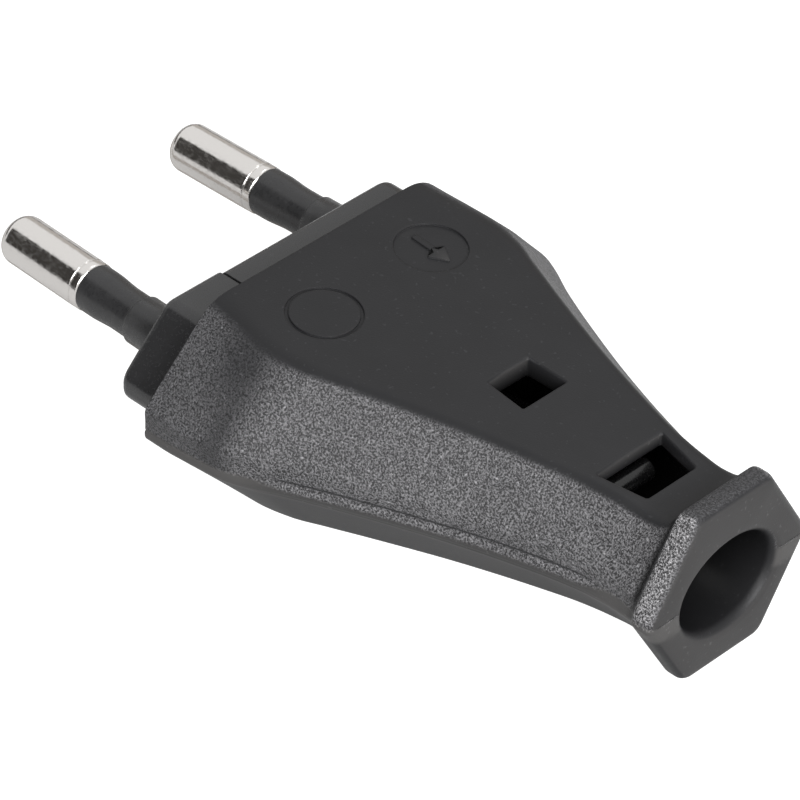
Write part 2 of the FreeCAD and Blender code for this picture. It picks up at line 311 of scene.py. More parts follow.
# %% Shader groups for grain and for tone
grain_group, given, made = new_group(
    "mould_grain",
    [("Vector", "NodeSocketVector", None), ("Size", "NodeSocketFloat", 6000.0),
     ("Depth", "NodeSocketFloat", 0.00004), ("Strength", "NodeSocketFloat", 0.5),
     ("Edge", "NodeSocketFloat", 0.0001)],
    [("Grain", "NodeSocketFloat"), ("Normal", "NodeSocketVector")])
noise = add(grain_group, "ShaderNodeTexNoise", Detail=1.2, Roughness=0.55,
            Vector=given["Vector"], Scale=given["Size"])
stretched = between(grain_group, noise.outputs["Fac"], 0.0, 1.0, start=0.37, end=0.65)
bevel = add(grain_group, "ShaderNodeBevel", samples=6, Radius=given["Edge"])
bump = add(grain_group, "ShaderNodeBump", Height=stretched, Distance=given["Depth"],
           Strength=given["Strength"], Normal=bevel.outputs[0])
feed(grain_group, made["Grain"], stretched)
feed(grain_group, made["Normal"], bump.outputs[0])

tone_group, given, made = new_group(
    "worn_tone",
    [("Vector", "NodeSocketVector", None), ("Color", "NodeSocketColor", (0.06, 0.06, 0.06, 1)),
     ("Clouds", "NodeSocketFloat", 0.12), ("Specks", "NodeSocketFloat", 0.25)],
    [("Color", "NodeSocketColor")])
clouds, dots = (add(tone_group, "ShaderNodeTexNoise", Vector=given["Vector"], Scale=scale,
                    Detail=detail).outputs["Fac"] for scale, detail in ((260, 3), (2600, 1)))
cloudy = between(tone_group, clouds, -1.0, 1.0, start=0.3, end=0.7)
specked = between(tone_group, dots, 0.0, 1.0, start=0.68, end=0.76)
change = maths(tone_group, "ADD", maths(tone_group, "MULTIPLY", cloudy, given["Clouds"]),
               maths(tone_group, "MULTIPLY", specked, given["Specks"]))
feed(tone_group, made["Color"],
     scaled_colour(tone_group, given["Color"], maths(tone_group, "ADD", change, 1.0)))
print("groups:", grain_group.name, tone_group.name)


# %% [markdown]
# ## Plastics
# Hood, insert and sleeves are all dark grey plastic, but each left its mould with another finish.
# One function builds them from the two groups, so that their differences are only the numbers:
# the colour, how rough the face is, and how coarse and deep its grain is. Where the insert's
# tongue lies in the dark of the hood, its colour is darkened there as painted shade.

# %% Moulded plastics
TONGUE_SHADE, TONGUE_FROM, TONGUE_TO = 0.15, 0.0, 0.004


def moulded_plastic(name, colour, roughness, gloss, grain_size, grain_depth):
    material, tree = new_material(name)
    place = add(tree, "ShaderNodeTexCoord").outputs["Object"]
    grain = add(tree, "ShaderNodeGroup", node_tree=grain_group, Vector=place, Size=grain_size,
                Depth=grain_depth, Edge=0.0001, Strength=0.5)
    tone = add(tree, "ShaderNodeGroup", node_tree=tone_group, Vector=place, Color=(*colour, 1),
               Clouds=0.1, Specks=0.25)
    # Painted shade: the colour is darkened along X where the insert's tongue lies inside the hood.
    along = add(tree, "ShaderNodeSeparateXYZ", Vector=place).outputs["X"]
    tongue_shade = between(tree, along, 1.0, TONGUE_SHADE, start=TONGUE_FROM, end=TONGUE_TO)
    shader = add(tree, "ShaderNodeBsdfPrincipled", IOR=1.5, Normal=grain.outputs["Normal"],
                 Roughness=between(tree, grain.outputs["Grain"], roughness - 0.05,
                                   roughness + 0.07),
                 **{"Specular IOR Level": gloss,
                    "Base Color": scaled_colour(tree, tone.outputs["Color"], tongue_shade)})
    add(tree, "ShaderNodeOutputMaterial", Surface=shader.outputs[0])
    return material


insert_plastic = moulded_plastic("insert_plastic", (0.024, 0.024, 0.025), roughness=0.22,
                                 gloss=0.58, grain_size=4200, grain_depth=0.000003)
sleeve_plastic = moulded_plastic("sleeve_plastic", (0.026, 0.026, 0.027), roughness=0.30,
                                 gloss=0.50, grain_size=2200, grain_depth=0.000002)
print("plastics made:", insert_plastic.name, sleeve_plastic.name)


# %% [markdown]
# ## Metals
# The pins are nickel-plated brass, turned on a lathe, so the finish has faint rings round each
# pin and a haze of fine scratches along it. The grain group gives that haze: stretched coordinates
# turn its dots into short strokes.

# %% Plated pins and terminal screws
STROKE = (0.4, 1, 1)


def plated_metal(name, colour, roughness):
    material, tree = new_material(name)
    place = add(tree, "ShaderNodeTexCoord").outputs["Object"]
    squeeze = add(tree, "ShaderNodeMapping", Vector=place, Scale=STROKE)
    grain = add(tree, "ShaderNodeGroup", node_tree=grain_group, Vector=squeeze.outputs[0],
                Size=6500, Depth=0.000003, Strength=0.3, Edge=0.00008)
    haze = between(tree, grain.outputs["Grain"], roughness - 0.05, roughness + 0.12)
    shader = add(tree, "ShaderNodeBsdfPrincipled", Metallic=1.0, Roughness=haze,
                 Normal=grain.outputs["Normal"], **{"Base Color": (*colour, 1)})
    add(tree, "ShaderNodeOutputMaterial", Surface=shader.outputs[0])
    return material


pin_metal = plated_metal("pin_metal", (0.80, 0.775, 0.75), roughness=0.14)
screw_steel = plated_metal("screw_steel", (0.55, 0.54, 0.52), roughness=0.32)
print("metals made:", pin_metal.name, screw_steel.name)


# %% [markdown]
# ## Turned parts
# Pins, sleeves and screws are all round about a line. A lathe would be Blender's Screw modifier
# or a spin in mesh code; here a Geometry Nodes tree turns a profile, so one tree with a named
# number of sides serves every turned part. It lays a grid of points, one row for each profile
# point and one column for each side, and swings each column round the X axis.

# %% Lathe tree
MERGE_DISTANCE = 0.000002

lathe = bpy.data.node_groups.new("turned_part", "GeometryNodeTree")
lathe.interface.new_socket(name="Profile", in_out="INPUT", socket_type="NodeSocketGeometry")
sides_socket = lathe.interface.new_socket(name="Sides", in_out="INPUT",
                                          socket_type="NodeSocketInt")
finish_socket = lathe.interface.new_socket(name="Finish", in_out="INPUT",
                                           socket_type="NodeSocketMaterial")
lathe.interface.new_socket(name="Mesh", in_out="OUTPUT", socket_type="NodeSocketGeometry")
given = lathe.nodes.new("NodeGroupInput").outputs
made = lathe.nodes.new("NodeGroupOutput").inputs
size = add(lathe, "GeometryNodeAttributeDomainSize", Geometry=given["Profile"])
columns = maths(lathe, "ADD", given["Sides"], 1.0)
grid = add(lathe, "GeometryNodeMeshGrid",
           **{"Vertices X": size.outputs["Point Count"], "Vertices Y": columns})
index = add(lathe, "GeometryNodeInputIndex").outputs[0]
row = maths(lathe, "FLOOR", maths(lathe, "DIVIDE", index, columns))
column = maths(lathe, "MODULO", index, columns)
angle = maths(lathe, "MULTIPLY", maths(lathe, "DIVIDE", column, given["Sides"]), math.tau)
where = add(lathe, "GeometryNodeInputPosition").outputs[0]
sample = add(lathe, "GeometryNodeSampleIndex", data_type="FLOAT_VECTOR",
             Geometry=given["Profile"], Value=where, Index=row)
swing = add(lathe, "ShaderNodeVectorRotate", rotation_type="X_AXIS",
            Vector=sample.outputs["Value"], Angle=angle)
put = add(lathe, "GeometryNodeSetPosition", Geometry=grid.outputs["Mesh"],
          Position=swing.outputs[0])
merge = add(lathe, "GeometryNodeMergeByDistance", Geometry=put.outputs[0],
            Distance=MERGE_DISTANCE)
smooth = add(lathe, "GeometryNodeSetShadeSmooth", Geometry=merge.outputs[0])
realize = add(lathe, "GeometryNodeRealizeInstances", Geometry=smooth.outputs[0])
paint = add(lathe, "GeometryNodeSetMaterial", Geometry=realize.outputs[0],
            Material=given["Finish"])
feed(lathe, made["Mesh"], paint.outputs[0])
print("lathe tree has", len(lathe.nodes), "nodes")


# %% [markdown]
# The tree's result is turned into a plain mesh straight away. The pins lean a little towards each
# other, so each part is drawn along the X axis and then leaned and moved into its line. Faces are
# turned outwards and creases sharper than a third of a right angle are kept crisp.

# %% Turning a profile into a finished part
PIN_SPACING_FACE, PIN_SPACING_TIP = 18.5, 17.4
PIN_LEAN = math.atan((PIN_SPACING_FACE - PIN_SPACING_TIP) / 2 / REACH)


def pin_line(side):
    """Matrix from drawing millimetres to the left (-1) or right (1) pin's line, in metres."""
    shift = Matrix.Translation((ORIGIN + Vector((0, side * PIN_SPACING_FACE / 2, 0))) * MM)
    return shift @ Matrix.Rotation(side * PIN_LEAN, 4, "Z") @ Matrix.Scale(MM, 4)


def tidy_mesh(mesh, crease=35):
    """Merges doubles, turns the faces outwards and keeps creases crisp."""
    work = bmesh.new()
    work.from_mesh(mesh)
    bmesh.ops.remove_doubles(work, verts=work.verts, dist=0.000001)
    bmesh.ops.recalc_face_normals(work, faces=work.faces)
    for face in work.faces:
        face.smooth = True
    work.to_mesh(mesh)
    work.free()
    mesh.set_sharp_from_angle(angle=math.radians(crease))


def turned_part(name, profile, sides, finish, matrix):
    """Turns (x, radius) points in millimetres about the X axis and puts the result in place."""
    points = [(x, 0, r) for x, r in profile]
    drawn = mesh_object(name + "_profile", points, [])
    modifier = drawn.modifiers.new("lathe", "NODES")
    modifier.node_group = lathe
    modifier[sides_socket.identifier] = sides
    modifier[finish_socket.identifier] = finish
    bpy.context.view_layer.update()
    ready = drawn.evaluated_get(bpy.context.evaluated_depsgraph_get())
    mesh = bpy.data.meshes.new_from_object(ready)
    bpy.data.objects.remove(drawn)
    mesh.name = name
    mesh.transform(matrix)
    tidy_mesh(mesh)
    part = bpy.data.objects.new(name, mesh)
    bpy.context.collection.objects.link(part)
    print(name, len(mesh.polygons), "faces")
    return part


# %% [markdown]
# ## Outlines and cutters
# Windows, marks and holes are cut out of solid shapes, as a toolmaker's core pins leave them in
# a moulding. Blender's Boolean modifier does that; its manifold solver is quick and exact when
# both shapes are closed, so every cutter here is a closed loft between rings of points.

# %% Rings, lofts and cuts
def round_outline(half_width, half_height, count, centre=(0, 0)):
    turns = [math.tau * i / count for i in range(count)]
    return [(centre[0] + half_width * math.cos(t), centre[1] + half_height * math.sin(t))
            for t in turns]


def loft(name, rings):
    """Closed solid through rings of (x, y, z) points in millimetres, all with equal counts."""
    count = len(rings[0])
    vertices = [point for ring in rings for point in ring]
    faces = []
    for layer in range(len(rings) - 1):
        start = layer * count
        for i in range(count):
            j = (i + 1) % count
            faces.append((start + i, start + j, start + count + j, start + count + i))
    for layer in (0, len(rings) - 1):
        ring = rings[layer]
        centre = len(vertices)
        vertices.append(tuple(sum(p[k] for p in ring) / count for k in range(3)))
        start = layer * count
        faces += [(start + i, start + (i + 1) % count, centre) for i in range(count)]
    solid = mesh_object(name, vertices, faces)
    tidy_mesh(solid.data)
    return solid


def prism(name, x0, x1, outline):
    return loft(name, [[(x, y, z) for y, z in outline] for x in (x0, x1)])


def upright(name, outline, x, z0, z1):
    return loft(name, [[(x + u, v, z) for u, v in outline] for z in (z0, z1)])


def cut_away(solid, cutters):
    """Cuts the cutters out of the solid one after the other and throws them away."""
    for cutter in cutters:
        modifier = solid.modifiers.new("cut", "BOOLEAN")
        modifier.operation = "DIFFERENCE"
        modifier.solver = "MANIFOLD"
        modifier.object = cutter
    bpy.context.view_layer.update()
    ready = solid.evaluated_get(bpy.context.evaluated_depsgraph_get())
    mesh = bpy.data.meshes.new_from_object(ready)
    solid.modifiers.clear()
    solid.data = mesh
    for cutter in cutters:
        bpy.data.objects.remove(cutter)
    print("cut", len(cutters), "shapes from", solid.name, "leaving", len(mesh.polygons), "faces")


# %% [markdown]
# ## Pins and sleeves
# Each pin is one turned piece of brass: a bare contact with a rounded tip and a fine ring near
# its end, and a thinner shank under the sleeve. The sleeve is a tube with a narrow waist, so that
# a finger can't touch metal while the plug is half in, and a collar where it meets the insert.
# Both are round, so the lathe turns them from outlines given point by point.

# %% Outlines of pin and sleeve
PIN_RADIUS, SHANK_RADIUS, TIP_ROUND = 2.0, 1.3, 1.1
BARE_END = -10.0
BLOCK_START, BLOCK_LENGTH, BLOCK_SIZE = 4.6, 5.6, 5.2
COLLAR_REACH, NOSE_STEP, SLEEVE_DEPTH = 4.75, 0.25, 4.0
SLEEVE_RADIUS, WAIST_DROP, COLLAR_RADIUS = 1.925, 0.15, 1.975
ROOT_RADIUS, SLEEVE_BORE = 1.9, 1.32
BARREL_STEPS = 16


def quarter_round(radius, steps):
    """(distance from the end, drop from full size) of points along a rounded edge."""
    turns = [math.pi / 2 * i / steps for i in range(steps + 1)]
    return [(radius * (1 - math.cos(t)), radius * (1 - math.sin(t))) for t in turns]


def ramp(value, low, high):
    """0 below low, 1 above high, smooth between."""
    share = np.clip((value - low) / (high - low), 0, 1)
    return share * share * (3 - 2 * share)


def contact_profile():
    tip = [(-REACH + along, PIN_RADIUS - drop) for along, drop in quarter_round(TIP_ROUND, 14)]
    ring = [(-0.83, PIN_RADIUS), (-0.80, 1.95), (-0.73, 1.95), (-0.69, 1.99), (-0.13, 1.985),
            (-0.05, 1.95), (0, 1.88)]
    return [(-REACH, 0), *tip, *((BARE_END + x, r) for x, r in ring), (BARE_END, SHANK_RADIUS),
            (BLOCK_START, SHANK_RADIUS), (BLOCK_START, 0)]


def sleeve_profile(face):
    """Outline of the tube's wall, from its bare end round to the bore; closed."""
    start, end = BARE_END + 0.9, -COLLAR_REACH - 0.2
    shares = [s / BARREL_STEPS for s in range(BARREL_STEPS + 1)]
    barrel = [(start + (end - start) * s, SLEEVE_RADIUS - WAIST_DROP * ramp(s, 0.05, 0.62))
              for s in shares]
    step = [(-0.06, 1.80), (0, 1.86), (0.02, 1.93), (0.1, COLLAR_RADIUS)]
    wall = [(BARE_END, SLEEVE_BORE), (BARE_END, 1.85), (BARE_END + 0.08, SLEEVE_RADIUS), *barrel,
            *((x - COLLAR_REACH, r) for x, r in step), (face, COLLAR_RADIUS),
            (face, ROOT_RADIUS), (SLEEVE_DEPTH, ROOT_RADIUS), (SLEEVE_DEPTH, SLEEVE_BORE)]
    return wall + wall[:1]


print("points: contact", len(contact_profile()), "sleeve", len(sleeve_profile(0)))


# %% [markdown]
# The pin's inner end carries a square terminal block, with a hole for the wire and one for the
# screw that clamps it. It is a cube with its edges bevelled and both holes cut out.

# %% Terminal block
BLOCK_EASE, WIRE_HOLE, SCREW_HOLE, SCREW_X = 0.25, 1.4, 1.27, 7.6


def terminal_block(name, side):
    work = bmesh.new()
    bmesh.ops.create_cube(work, size=1)
    bmesh.ops.scale(work, vec=(BLOCK_LENGTH, BLOCK_SIZE, BLOCK_SIZE), verts=work.verts)
    bmesh.ops.translate(work, vec=(BLOCK_START + BLOCK_LENGTH / 2, 0, 0), verts=work.verts)
    bmesh.ops.bevel(work, geom=work.edges[:], offset=BLOCK_EASE, segments=3, affect="EDGES")
    mesh = bpy.data.meshes.new(name)
    work.to_mesh(mesh)
    work.free()
    block = bpy.data.objects.new(name, mesh)
    bpy.context.collection.objects.link(block)
    cut_away(block, [prism("wire_hole", BLOCK_START + 1, BLOCK_START + BLOCK_LENGTH + 1,
                           round_outline(WIRE_HOLE, WIRE_HOLE, 40)),
                     upright("screw_hole", round_outline(SCREW_HOLE, SCREW_HOLE, 32), SCREW_X,
                             0, BLOCK_SIZE / 2 + 1)])
    block.data.transform(pin_line(side))
    block.data.materials.clear()
    block.data.materials.append(pin_metal)
    tidy_mesh(block.data)
    return block


# %% Both pins and sleeves
PIN_SIDES = 96

for side, name in ((-1, "left"), (1, "right")):
    contact = turned_part(name + "_contact", contact_profile(), PIN_SIDES, pin_metal,
                          pin_line(side))
    block = terminal_block(name + "_terminal", side)
    for piece in (contact, block):
        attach(piece, "root")
        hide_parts(name + "_pin")
    face = -0.06 - (NOSE_STEP if side < 0 else 0)
    sleeve = turned_part(name + "_sleeve", sleeve_profile(face), PIN_SIDES, sleeve_plastic,
                         pin_line(side))
    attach(sleeve, "root")
    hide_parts(name + "_pin_sleeve")


# %% [markdown]
# ## The hood's shape
# The hood is the part that takes most skill. Its section is a flattened hexagon with rounded
# edges; along the plug it stays wide for the first third, then narrows in a long soft taper to a
# neck, and swells again into the flange round the cable hole. It could be sculpted from a
# subdivided box, but sizes from the construction model are safer: a few stations give the
# section's numbers, a smooth curve runs through them, and a fine mesh is drawn over the result.

# %% Stations along the hood
HOOD = ((4.35, 17.5, 10.9, 4.0), (6, 17.5, 11.05, 3.8), (8, 17.35, 11.3, 3.5),
        (11, 17.0, 11.55, 2.8), (13.5, 16.15, 11.2, 2.1), (16, 14.9, 10.3, 1.6),
        (20, 13.1, 8.85, 1.3), (26, 10.7, 6.85, 1.2), (32, 8.7, 5.2, 1.2), (36, 7.6, 4.3, 1.2),
        (38.5, 7.15, 4.0, 1.2), (40.3, 7.05, 3.9, 1.2))
SWELL = ((0.35, 0.05), (0.62, 0.2), (0.82, 0.48), (0.94, 0.8), (1.0, 0.98))
SEAM_BAND, FLANGE_BAND, SIDE_ROUND = 1.3, 0.5, 0.9
FLANGE = (8.2, 3.96, 7.3)
FLANGE_THICKNESS, FLANGE_EDGE = 1.8, 0.85
BEVEL_SHARE = 0.4


def station_table():
    """Rows of x, half width, flat half width, half height, band, corner radius."""
    rows = [(x, width, flat, top_height(x), SEAM_BAND, r) for x, width, flat, r in HOOD]
    neck = rows[-1]
    crest = END_X - FLANGE_THICKNESS
    for along, out in SWELL:
        x = neck[0] + (crest - neck[0]) * along
        sizes = [neck[k + 1] + (FLANGE[k] - neck[k + 1]) * out for k in range(3)]
        rows.append((x, *sizes, SEAM_BAND + (FLANGE_BAND - SEAM_BAND) * out, 1.2))
    rows.append((crest + FLANGE_EDGE / 2, *FLANGE, FLANGE_BAND, 1.2))
    for along, drop in reversed(quarter_round(FLANGE_EDGE, 6)):
        rows.append((END_X - along, FLANGE[0] - drop, FLANGE[1] - drop * BEVEL_SHARE,
                     FLANGE[2] - drop, FLANGE_BAND, 1.2))
    return np.array(rows)


def smooth_through(table, x):
    """Curve through the table's rows that never overshoots them, read at x."""
    xs, ys = table[:, 0], table[:, 1:]
    steps = np.diff(xs)[:, None]
    slopes = np.diff(ys, axis=0) / steps
    tangents = np.zeros_like(ys)
    left, right = slopes[:-1], slopes[1:]
    agree = left * right > 0
    tangents[1:-1] = np.where(agree, 2 * left * right / np.where(agree, left + right, 1), 0)
    tangents[0], tangents[-1] = slopes[0], slopes[-1]
    i = int(np.clip(np.searchsorted(xs, x) - 1, 0, len(xs) - 2))
    h = steps[i]
    t = (x - xs[i]) / h
    return (ys[i] * (1 + 2 * t) * (1 - t) ** 2 + tangents[i] * h * t * (1 - t) ** 2
            + ys[i + 1] * t * t * (3 - 2 * t) + tangents[i + 1] * h * t * t * (t - 1))


stations = station_table()
print("stations:", len(stations), "from", stations[0, 0], "to", round(stations[-1, 0], 2))


# %% [markdown]
# The section is drawn as one half, from the middle of the top round to the middle of the
# bottom, and mirrored. Straight runs and rounded corners each get a fixed number of points, so
# that neighbouring sections join point to point, and points gather near the seam where the
# detail is fine.

# %% One section
def half_section(half_width, flat, half_height, band, top_round, side_round=SIDE_ROUND):
    """Points of (y, z) down one side of the plug, in millimetres."""
    corners = np.array([(0, half_height), (flat, half_height), (half_width, band),
                        (half_width, -band), (flat, -half_height), (0, -half_height)])
    radii = (0, top_round, side_round, side_round, top_round, 0)
    arc_steps = (0, 8, 6, 6, 8, 0)
    run_steps = (26, 34, 26, 24, 16)
    ways = np.diff(corners, axis=0)
    ways /= np.linalg.norm(ways, axis=1)[:, None]
    arcs = [corners[:1]]
    for i in range(1, 5):
        back, ahead = -ways[i - 1], ways[i]
        half = math.acos(np.clip(back @ ahead, -1, 1)) / 2
        reach = radii[i] / math.tan(half)
        middle = back + ahead
        centre = corners[i] + middle / np.linalg.norm(middle) * radii[i] / math.sin(half)
        start, end = corners[i] + back * reach - centre, corners[i] + ahead * reach - centre
        spread = math.pi - 2 * half
        turns = np.linspace(0, 1, arc_steps[i])[:, None]
        arcs.append(centre + (start * np.sin((1 - turns) * spread) + end * np.sin(turns * spread))
                    / math.sin(spread))
    arcs.append(corners[-1:])
    points = [arcs[0]]
    for i, steps in enumerate(run_steps):
        shares = np.linspace(0, 1, steps + 1)[1:-1]
        if i == 1:
            shares = 1 - (1 - shares) ** 1.5
        if i == 3:
            shares = shares ** 1.5
        points.append(arcs[i][-1] + (arcs[i + 1][0] - arcs[i][-1]) * shares[:, None])
        points.append(arcs[i + 1])
    return np.vstack(points)


sample = half_section(*smooth_through(stations, 20.0))
print("points in a half section:", len(sample))


# %% [markdown]
# Along the taper the mould has left more than a plain hexagon: a soft groove runs along the seam
# above a narrow raised bead, and under the bead lies the hair-thin parting line of the two mould
# halves. A crease marks the flange's foot. These are too fine for the solids, and a bump map
# would not change the outline, so they are moved into the fine mesh itself.

# %% Seam details and the hood's skin
GROOVE_DEPTH, BEAD_RISE, CREASE_DEPTH, KINK_RISE = 0.16, 0.12, 0.17, 0.15
BODY_STEP, BODY_STEPS, NECK_X, FLANGE_STEPS = 0.3, 120, 40.35, 44


def dip(value, centre, width):
    """1 at the centre, falling off smoothly to 0 on both sides."""
    return np.exp(-((value - centre) / width) ** 2)


def seam_height(x):
    """Height of the seam above the pins' plane, in millimetres."""
    return -0.62 + 0.36 * ramp(x, 11.0, 15.5) + 0.10 * ramp(x, 24.0, 32.0)


def tapering(x):
    """1 along the taper, 0 at the wide front and at the flange."""
    return ramp(x, 12.5, 16.5) * (1 - ramp(x, 37.0, 41.0))


def skin_detail(x, z):
    """How far the skin stands in (+) from its plain section, in millimetres."""
    above = z - seam_height(x)
    along = tapering(x)
    groove = GROOVE_DEPTH * along * dip(above, 0, 0.30)
    bead = -BEAD_RISE * along * dip(above, -0.55, 0.26)
    front = 1 - ramp(x, 9.0, 13.0)
    parting = 0.08 * front * dip(above, 0, 0.07) + 0.04 * along * dip(above, -1.15, 0.08)
    set_back = 0.05 * front * ramp(above, 0.0, 0.06) * (1 - ramp(above, 0.7, 1.8))
    crease = CREASE_DEPTH * dip(x, END_X - 2.45, 0.45)
    slope = ramp(above, 0.3, 2.0) * (1 - ramp(z, top_height(x) - 2.2, top_height(x) - 0.5))
    kink = -KINK_RISE * dip(x, 12.2, 1.9) * slope
    return groove + bead + parting + set_back + crease + kink


def hood_ring(x):
    """Points round the hood's skin at x, with its fine detail."""
    half = half_section(*smooth_through(stations, x))
    ways = np.gradient(half, axis=0)
    ways /= np.linalg.norm(ways, axis=1)[:, None]
    outward = np.column_stack((-ways[:, 1], ways[:, 0]))
    half = half - outward * skin_detail(x, half[:, 1])[:, None]
    other = half[-2:0:-1] * (-1, 1)
    ring = np.vstack((half, other))
    return [(x, y, z) for y, z in ring]


fine = [RIM_X + BODY_STEP * i for i in range(BODY_STEPS)]
fine += list(np.linspace(NECK_X, END_X, FLANGE_STEPS))
hood = loft("hood", [hood_ring(x) for x in fine])
print("skin:", len(hood.data.polygons), "faces")


# %% [markdown]
# ## Hollowing the hood
# From the front goes a pocket for the insert, behind it a tapering cavity for the wires, and
# from the back the oval cable hole, whose mouth is rounded so that it does not chafe the flex.
# Two windows open in the top; each is cut with a slightly wider collar, which leaves the eased
# lip that the real edges have. The two round moulding marks are a fraction of a millimetre deep.

# %% Cutters for the hood
NOSE = (15.65, 11.2, 5.45, 0.7)
NOSE_DEPTH = 10.6
CAVITY = ((NOSE_DEPTH + 0.2, 14.9, 9.6, 5.1), (13.5, 13.8, 9.2, 5.0), (20, 11.1, 8.0, 4.9),
          (26, 8.8, 6.1, 4.75), (32, 6.9, 4.6, 4.6), (36, 5.9, 3.9, 4.5), (40, 5.2, 3.6, 4.4))
MOUTH_ROUND = 0.85
INLET = (4.75, 3.75, -0.4)
SMALL_WINDOW = (23.53, 27.12, 2.05, 2.23)
LARGE_WINDOW = (35.31, 39.33, 3.4, 2.5)
RING_MARK = (10.62, -5.65, 2.9)
DISC_MARK = (10.4, 5.63, 2.8)


def section_ring(x, width, flat, height, band, top_round, side_round):
    half = half_section(width, flat, height, band, top_round, side_round)
    ring = np.vstack((half, half[-2:0:-1] * (-1, 1)))
    return [(x, y, z) for y, z in ring]


def window_cutter(name, front, rear, half_front, half_rear):
    rings = []
    for grow, lift in ((0, None), (0, -0.16), (0.04, -0.08), (0.13, 0), (0.14, 0.5)):
        corners = [(front - grow, -half_front - grow), (rear + grow, -half_rear - grow),
                   (rear + grow, half_rear + grow), (front - grow, half_front + grow)]
        ring = []
        for i, (x, y) in enumerate(corners):
            nx, ny = corners[(i + 1) % 4]
            ring += [(x + (nx - x) * s, y + (ny - y) * s) for s in (0.03, 0.35, 0.65, 0.97)]
        rings.append([(x, y, 0.0 if lift is None else top_height(x) + lift) for x, y in ring])
    return loft(name, rings)


def bell_mouth():
    """Oval hole whose wall turns outwards in a quarter round of MOUTH_ROUND."""
    steps = [(39.4, 0.0)]
    steps += [(END_X - along, drop) for drop, along in quarter_round(MOUTH_ROUND, 10)]
    steps.append((END_X + 0.6, MOUTH_ROUND))
    return loft("cable_hole", [[(x, y, z) for y, z in
                                round_outline(INLET[0] + grow, INLET[1] + grow, 96,
                                              (0, INLET[2]))] for x, grow in steps])


def on_top(thing, x, y):
    """Lays a cutter drawn about the origin onto the sloping top at (x, y)."""
    thing.data.transform(Matrix.Translation((x, y, top_height(x)))
                         @ Matrix.Rotation(math.atan(TOP_SLOPE), 4, "Y"))
    return thing


def ring_groove(radius, line=0.28, depth=0.15):
    outer = upright("ring_groove", round_outline(radius, radius, 96), 0, -depth, 1)
    inner = upright("ring_core", round_outline(radius - line, radius - line, 96), 0, -1, 2)
    cut_away(outer, [inner])
    return outer


def disc_with_pointer(radius, depth=0.15):
    disc = upright("disc_recess", round_outline(radius, radius, 96), 0, -depth, 1)
    arrow = [(-1.8, -0.25), (0.5, -0.25), (0.5, -0.9), (1.9, 0), (0.5, 0.9), (0.5, 0.25),
             (-1.8, 0.25)]
    pointer = loft("pointer", [[(x, y, z) for x, y in arrow] for z in (-1, -0.02)])
    cut_away(disc, [pointer])
    return disc


def face_line():
    """Hair-thin parting line across the end face."""
    return prism("face_line", END_X - 0.07, END_X + 1, [(-8.5, -0.05), (8.5, -0.05), (8.5, 0.05),
                                                        (-8.5, 0.05)])


pocket = loft("pocket", [section_ring(x, *(NOSE[k] + g for k, g in enumerate((0.15, 0.06, 0.15))),
                                      0.7, 1.6, 1.2) for x in (RIM_X - 1, NOSE_DEPTH + 0.4)])
cavity = loft("cavity", [section_ring(x, width, flat, height, 0.6, 1.0, 0.6)
                         for x, width, flat, height in CAVITY])
cut_away(hood, [pocket, cavity, bell_mouth(), face_line(),
                window_cutter("small_window", *SMALL_WINDOW),
                window_cutter("large_window", *LARGE_WINDOW),
                on_top(ring_groove(RING_MARK[2]), *RING_MARK[:2]),
                on_top(disc_with_pointer(DISC_MARK[2]), *DISC_MARK[:2])])


# %% [markdown]
# ## Where each finish and each painted light and shade go
# The mould gave the sloping sides above the seam a coarse grain and left the other faces plain.
# The plain wall under the seam and the end face get a lighter colour as painted light, and deep
# inside and in the crease at the flange's foot, where little light gets, the colour is darkened as
# painted shade. Masks painted by hand would be lost with the next change of size, so the script
# works them out from each point's place and the way its face looks, and keeps them as attributes
# for the material.

# %% Masks on the hood
CREASE_X = END_X - 2.38


def outside_distance(x, y, z):
    """Depth of points below the hood's outline, and the outline's sizes there, in millimetres."""
    sizes = np.array([smooth_through(stations, v) for v in x])
    width, flat, height, band = sizes[:, 0], sizes[:, 1], sizes[:, 2], sizes[:, 3]
    run, rise = width - flat, height - band
    length = np.hypot(run, rise)
    slope = ((width - np.abs(y)) * rise - (np.abs(z) - band) * run) / length
    return np.minimum(np.minimum(height - np.abs(z), width - np.abs(y)), slope), sizes


def grain_share(x, z, below_top, nx, ny, nz, upper):
    """Share of the coarse grain on the sloping sides above the seam and on the flange's crest; it
    is lowered as painted shade on the front bevel and near the kink, and raised as painted light
    where the crest faces sideways.
    """
    sloping = ramp(np.abs(ny) + np.abs(nx) * 0.6, 0.2, 0.42) * ramp(nz, -0.45, -0.2)
    # Painted shade: less grain, and so a darker colour, on the front bevel than on the taper.
    coarse = 0.44 + 0.18 * ramp(x, 10.5, 13.5)
    # Painted shade: less grain, and so a darker colour, on the upper front bevel and along the
    # kink.
    painted_valley_shade = np.maximum(0.6 * dip(x, 9.6, 2.6) * ramp(z, 2.0, 6.0), 0.35 * dip(x, 10.8, 1.1))
    facing = ramp(below_top, 0.2, 0.55) * (1 - ramp(nx, 0.75, 0.9))
    crest = ramp(x, END_X - 2.2, END_X - 1.7) * (1 - ramp(x, END_X - 0.5, END_X - 0.15))
    # Grain on the flange's crest, and painted light: more of it where the crest faces sideways.
    crest_grain_and_light = crest * ramp(nz, -0.1, 0.2) * (0.25 + 1.05 * ramp(np.abs(ny), 0.15, 0.6))
    return np.maximum(coarse * (1 - painted_valley_shade) * sloping * upper * facing, np.minimum(crest_grain_and_light, 1))


